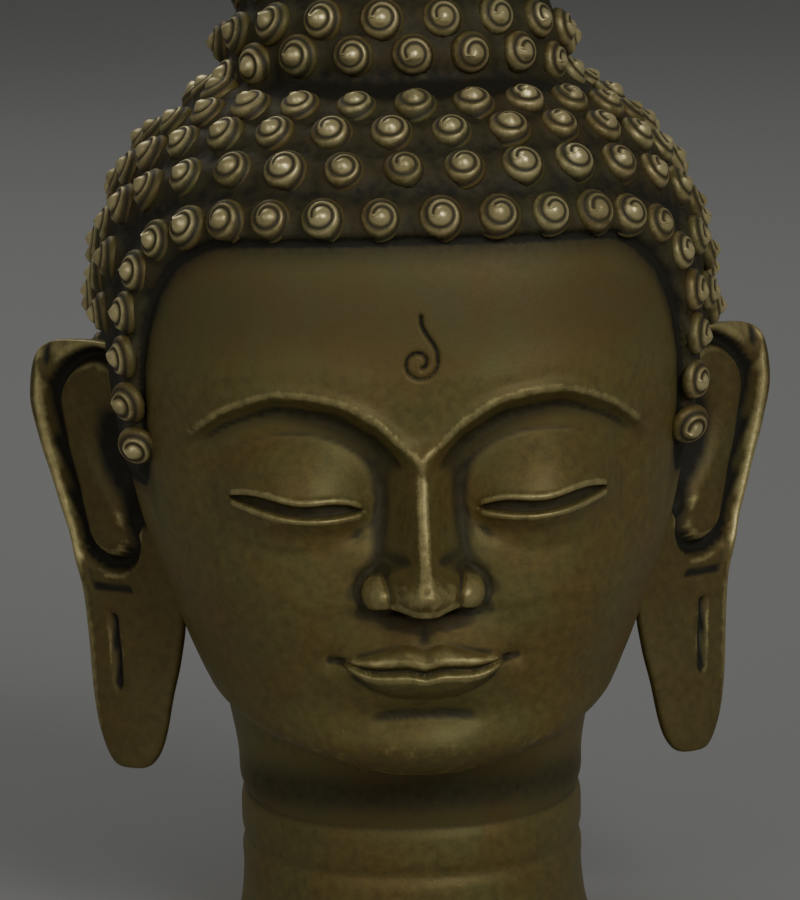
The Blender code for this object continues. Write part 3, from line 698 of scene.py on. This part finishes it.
# painted shadow: the chin's shade, darkening the top of the neck
recess_and_shade = recess_and_shade + JAW_PAINTED_SHADOW * bell(height, JAW_HEIGHT, JAW_BAND) * ramp(-1, 2, forward)
recess_and_shade = recess_and_shade + on_hair * (VALLEY_DIRT - PAD_POLISH * pads)
finished_piece("head_and_neck", skin, skin_bronze, {"wear_and_highlight": wear_and_highlight, "recess_and_shade": recess_and_shade})

# Ears: long cast ears with stretched lobes, one on each side. Their carving is chased into the casting,
# and hands have rubbed the outer rims to gold.
EAR_THICKNESS = 0.0040 / UNIT
EAR_ENDS = (-0.42, 9.15)
EAR_ROOT_X = (
    (-0.45, 5.62), (0, 5.5), (1.2, 5.36), (2, 5.2), (3, 5.08), (4.4, 5.1), (5.7, 5.2), (7.9, 5.4), (9.2, 5.6),
)
EAR_ROOT_Y = ((-0.45, -1.7), (2, -1.7), (5, -1.8), (9, -1.5))
EAR_RIM_X = (
    (-0.45, 7.0), (0.7, 7.14), (1.9, 7.19), (3, 7.22), (4.4, 7.24),
    (5.7, 7.47), (6.9, 7.84), (7.9, 8.07), (9.2, 8.1),
)
EAR_RIM_Y = ((-0.45, -0.7), (2, -0.3), (4.4, 0.4), (6.9, 1.1), (9, 1.4))
LOBE_SQUARENESS, EAR_TOP_SQUARENESS = 4.2, 6.0
EAR_SEGMENTS, EAR_RINGS = 96, 150


def ear_relief(from_rim, height):
    """The ear's carving by the distance from its outer edge: rim, groove, tongue, hollow, lobe and slit."""
    rim_width = 0.22 + 0.24 * ramp(4.4, 8.6, height)
    rim = 0.2 * (1 - ramp(rim_width, rim_width + 0.22, from_rim)) * ramp(3.2, 4.4, height)
    share = np.clip((7.6 - height) / 2.75, 0, 1)
    across, along = from_rim - (1.95 - 0.85 * share), height - (7.6 - 2.75 * share)
    from_tongue = np.hypot(across, along) - (1.1 - 0.55 * share)
    groove = 0.36 * bell(from_tongue, 0.16, 0.16)
    tongue = 0.1 * ramp(0, 0.4, -from_tongue)
    hollow = 0.45 * dome((from_rim - 2.3) / 0.9, (height - 6.4) / 1.6)
    slit = 0.24 * bell(from_rim, 0.86, 0.08) * ramp(1.25, 1.6, height) * (1 - ramp(2.9, 3.1, height))
    crease = 0.09 * bell(height, 3.6, 0.1) * ramp(0.3, 0.6, from_rim) * (1 - ramp(1.3, 1.7, from_rim))
    return rim + tongue - groove - hollow - slit - crease


def ear_points(directions, side):
    """Moves points of the unit sphere onto the ear, with each point's wear: place, rubbed and recess."""
    lowest, highest = EAR_ENDS
    share = directions[:, 2]
    height = (lowest + highest) / 2 + share * (highest - lowest) / 2
    root = np.column_stack([line(EAR_ROOT_X, height), line(EAR_ROOT_Y, height)])
    rim = np.column_stack([line(EAR_RIM_X, height), line(EAR_RIM_Y, height)])
    half = np.linalg.norm(rim - root, axis=1) / 2
    across = (rim - root) / (2 * half[:, None])
    outward = np.column_stack([across[:, 1], -across[:, 0]])
    ring = np.hypot(directions[:, 0], directions[:, 1])
    turn = np.arctan2(directions[:, 1], directions[:, 0])
    square = np.where(share < 0, LOBE_SQUARENESS, EAR_TOP_SQUARENESS)
    end = np.where(ring < 1e-6, 0, (1 - np.abs(np.clip(share, -1, 1)) ** square) ** (1 / square))
    place = np.sign(np.cos(turn)) * np.abs(np.cos(turn)) ** 0.85 * end
    depth = np.sign(np.sin(turn)) * np.abs(np.sin(turn)) ** 0.65 * end**0.6
    thick = EAR_THICKNESS / 2 * (1 + 0.25 * ramp(3, 6, height))
    face = ramp(0.1, 0.7, depth)
    from_rim = (1 - place) * half
    carving = ear_relief(from_rim, height)
    lift = depth * thick + 0.35 * ramp(0, 1, place) * ramp(2, 6, height) + face * carving
    points = (root + rim) / 2 + across * (place * half)[:, None] + outward * lift[:, None]
    around = sum(
        ear_relief(from_rim + 0.22 * math.cos(a), height + 0.22 * math.sin(a))
        for a in np.radians((0, 60, 120, 180, 240, 300))
    ) / 6
    edge = (1 - ramp(0.1, 0.4, from_rim)) + (1 - ramp(0.2, 0.6, (highest - height)))
    wear_and_highlight = 0.75 * np.clip(ramp(0.02, 0.12, carving - around) * face + 0.7 * edge, 0, 1)
    recess_and_shade = np.clip(ramp(-0.02, 0.08, around - carving) + ramp(0.0, 0.22, -carving), 0, 1) * face
    return np.column_stack([points[:, 0] * side, points[:, 1], height]), wear_and_highlight, recess_and_shade


ear_bronze = bronze("ear_bronze", 0.5, 0.3, Brown=(0.205, 0.147, 0.047), Olive=(0.19, 0.165, 0.054))
for name, side in (("right_ear", -1), ("left_ear", 1)):
    ear = bmesh.new()
    bmesh.ops.create_uvsphere(ear, u_segments=EAR_SEGMENTS, v_segments=EAR_RINGS, radius=1)
    points, wear_and_highlight, recess_and_shade = ear_points(vertex_places(ear), side)
    place_vertices(ear, to_metres(points))
    face_outwards(ear)
    finished_piece(name, ear, ear_bronze, {"wear_and_highlight": wear_and_highlight, "recess_and_shade": recess_and_shade})

# Curls: about 280 snail shells that are cast with the hair, each a ribbon wound nearly twice up to a
# domed middle. Their tops are rubbed to gold, some more than others, and dark is left between the turns.
CURL_TURNS = 1.8
CURL_STEPS = 10
# the ribbon's outer edge and groove: turns, radius and height in millimetres; the crest between them
GROOVE_RADIUS = ((0, 4.8), (1, 4.7), (1.12, 4.2), (1.35, 3.4), (1.7, 2.85), (2.2, 2.3), (2.8, 1.5))
GROOVE_HEIGHT = ((0, -1.4), (1, -1.4), (1.12, 0.1), (1.35, 1.2), (1.7, 1.55), (2.2, 1.9), (2.8, 2.5))
CREST_RADIUS = ((0, 4.75), (0.15, 4.5), (0.35, 4.1), (0.7, 3.8), (1, 3.5), (1.2, 3.1), (1.5, 2.6), (1.8, 1.9))
CREST_HEIGHT = (
    (0, -1.3), (0.15, 0.3), (0.35, 1.5), (0.7, 2.0), (1, 2.4), (1.4, 2.8), (1.65, 2.9), (1.8, 2.6),
)
CURL_APEX = 4.0
CURL_TOP_INSET, CURL_TOP_RISE = 0.0006, 0.0009
# what differs from curl to curl: turn in degrees, size, lean of the axis, and wear
CURL_SEED = 7
CURL_TURN, CURL_TURN_SPREAD = 250, 40
CURL_SIZES = (1.02, 1.12)
CURL_LEAN = 0.05
CURL_WEAR = (0.55, 1.05)


def curl_shell():
    """One shell with its middle on the origin, in metres, and its wear in two layers."""
    shell = bmesh.new()
    columns = int(CURL_TURNS * CURL_STEPS)
    bmesh.ops.create_grid(shell, x_segments=columns, y_segments=2, size=1)
    rubbed_layer = shell.verts.layers.float.new("wear_and_highlight")
    recess_layer = shell.verts.layers.float.new("recess_and_shade")
    for vertex in shell.verts:
        turns = (vertex.co.x + 1) / 2 * CURL_TURNS
        row = round(vertex.co.y)
        if row == 0:
            radius, height = line(CREST_RADIUS, turns), line(CREST_HEIGHT, turns)
        else:
            radius = line(GROOVE_RADIUS, turns + (row > 0))
            height = line(GROOVE_HEIGHT, turns + (row > 0))
        vertex[rubbed_layer] = float(ramp(0.9, 3.3, height)) if row == 0 else 0.0
        vertex[recess_layer] = 0.0 if row == 0 else 0.8
        angle = 2 * math.pi * turns
        vertex.co = Vector((radius * math.cos(angle), radius * math.sin(angle), height)) / 1000
    bmesh.ops.remove_doubles(shell, verts=shell.verts, dist=1e-5)
    rims = [edge for edge in shell.edges if edge.is_boundary]
    filled = bmesh.ops.holes_fill(shell, edges=rims)["faces"]
    middle = max(filled, key=lambda face: face.calc_center_median().z)
    bmesh.ops.inset_individual(shell, faces=[middle], thickness=CURL_TOP_INSET, depth=CURL_TOP_RISE)
    fan = bmesh.ops.poke(shell, faces=[middle], offset=0)
    for vertex in fan["verts"]:
        vertex.co.z = CURL_APEX / 1000
        vertex[rubbed_layer] = 1.0
    for face in fan["faces"]:
        for vertex in face.verts:
            vertex[rubbed_layer] = 1.0
            vertex[recess_layer] = 0.0
    face_outwards(shell)
    data = bpy.data.meshes.new("curl_shell")
    shell.to_mesh(data)
    shell.free()
    return data


shell = curl_shell()
chance = np.random.default_rng(CURL_SEED)
hair = bmesh.new()
for place, normal in zip(to_metres(curls), curl_normals):
    first = len(hair.verts)
    hair.from_mesh(shell)
    hair.verts.ensure_lookup_table()
    turn = math.radians(chance.uniform(-CURL_TURN_SPREAD, CURL_TURN_SPREAD) + CURL_TURN)
    size = chance.uniform(*CURL_SIZES)
    lean = Vector(chance.normal(0, CURL_LEAN, 3))
    wear_share = chance.uniform(*CURL_WEAR)
    outward = (Vector(normal) + lean).normalized()
    upright = outward.to_track_quat("Z", "Y").to_matrix().to_4x4()
    wound = Matrix.Rotation(turn, 4, "Z") @ Matrix.Scale(size, 4)
    stand = Matrix.Translation(Vector(place)) @ upright @ wound
    bmesh.ops.transform(hair, matrix=stand, verts=hair.verts[first:])
    rubbed_layer = hair.verts.layers.float["wear_and_highlight"]
    for vertex in hair.verts[first:]:
        vertex[rubbed_layer] *= wear_share
layers = hair.verts.layers.float
wear = {name: [vertex[layers[name]] for vertex in hair.verts] for name in ("wear_and_highlight", "recess_and_shade")}
for name in wear:
    layers.remove(layers[name])
curl_bronze = bronze("curl_bronze", 0.4, 0.5, Gold=(0.98, 0.84, 0.42))
hair_curls = finished_piece("hair_curls", hair, curl_bronze, wear)
rounded = hair_curls.modifiers.new("rounded", "SUBSURF")
rounded.levels = 1
rounded.render_levels = 1

# Studio: a plain pale floor that fills the view, one large soft lamp above the face and to the camera's
# right, a weak one on the left, a rim light from behind and a grey room.
FLOOR_SIZE = 16.0
FLOOR_COLOUR = (0.425, 0.425, 0.41, 1)
ROOM_GREY = 0.125
LAMPS = {
    "key": {"place": (0.78, -1.7, 1.08), "size": 1.0, "power": 10.4},
    "fill": {"place": (-1.0, -1.65, 0.85), "size": 1.2, "power": 3.0},
    "rim": {"place": (-0.5, 1.3, 1.6), "size": 1.0, "power": 5.0},
}
HEAD_MIDDLE = Vector((0, 0, 0.1))

floor_mesh = bmesh.new()
bmesh.ops.create_grid(floor_mesh, x_segments=1, y_segments=1, size=FLOOR_SIZE / 2)
floor_data = bpy.data.meshes.new("floor")
floor_mesh.to_mesh(floor_data)
floor_mesh.free()
floor_paint = bpy.data.materials.new("pale_floor")
floor_paint.use_nodes = True
floor_paint.node_tree.nodes["Principled BSDF"].inputs["Base Color"].default_value = FLOOR_COLOUR
floor_paint.node_tree.nodes["Principled BSDF"].inputs["Roughness"].default_value = 0.9
floor_data.materials.append(floor_paint)
floor = bpy.data.objects.new("floor", floor_data)
bpy.context.scene.collection.objects.link(floor)

for name, lamp in LAMPS.items():
    light = bpy.data.lights.new(name, "AREA")
    light.size = lamp["size"]
    light.energy = lamp["power"]
    stand = bpy.data.objects.new(name, light)
    stand.location = lamp["place"]
    stand.rotation_euler = (HEAD_MIDDLE - stand.location).to_track_quat("-Z", "Y").to_euler()
    bpy.context.scene.collection.objects.link(stand)
room = bpy.data.worlds.new("room")
room.use_nodes = True
room.node_tree.nodes["Background"].inputs["Color"].default_value = (ROOM_GREY, ROOM_GREY, ROOM_GREY, 1)
bpy.context.scene.world = room

# Camera: it stands before the face, a little to the figure's right and above, and is turned a trace
# about its own axis. The frame cuts the topknot above and the neck below, as the photograph does.
PHOTO_HEIGHT = 900
PIXELS_PER_METRE = 5000
CAMERA_AZIMUTH, CAMERA_ELEVATION, CAMERA_ROLL = (math.radians(angle) for angle in (-2.8, 8.0, 1.2))
CAMERA_DISTANCE = 1.2
CAMERA_AIM = Vector((-0.0008, 0, 0.0946))

away = Vector((
    math.sin(CAMERA_AZIMUTH) * math.cos(CAMERA_ELEVATION),
    -math.cos(CAMERA_AZIMUTH) * math.cos(CAMERA_ELEVATION),
    math.sin(CAMERA_ELEVATION),
))
lens = bpy.data.cameras.new("camera")
lens.clip_start = 0.01
lens.lens = lens.sensor_width * PIXELS_PER_METRE * CAMERA_DISTANCE / PHOTO_HEIGHT
camera = bpy.data.objects.new("camera", lens)
camera.matrix_world = (
    Matrix.Translation(CAMERA_AIM + away * CAMERA_DISTANCE)
    @ away.to_track_quat("Z", "Y").to_matrix().to_4x4()
    @ Matrix.Rotation(-CAMERA_ROLL, 4, "Z")
)
bpy.context.scene.collection.objects.link(camera)
bpy.context.scene.camera = camera
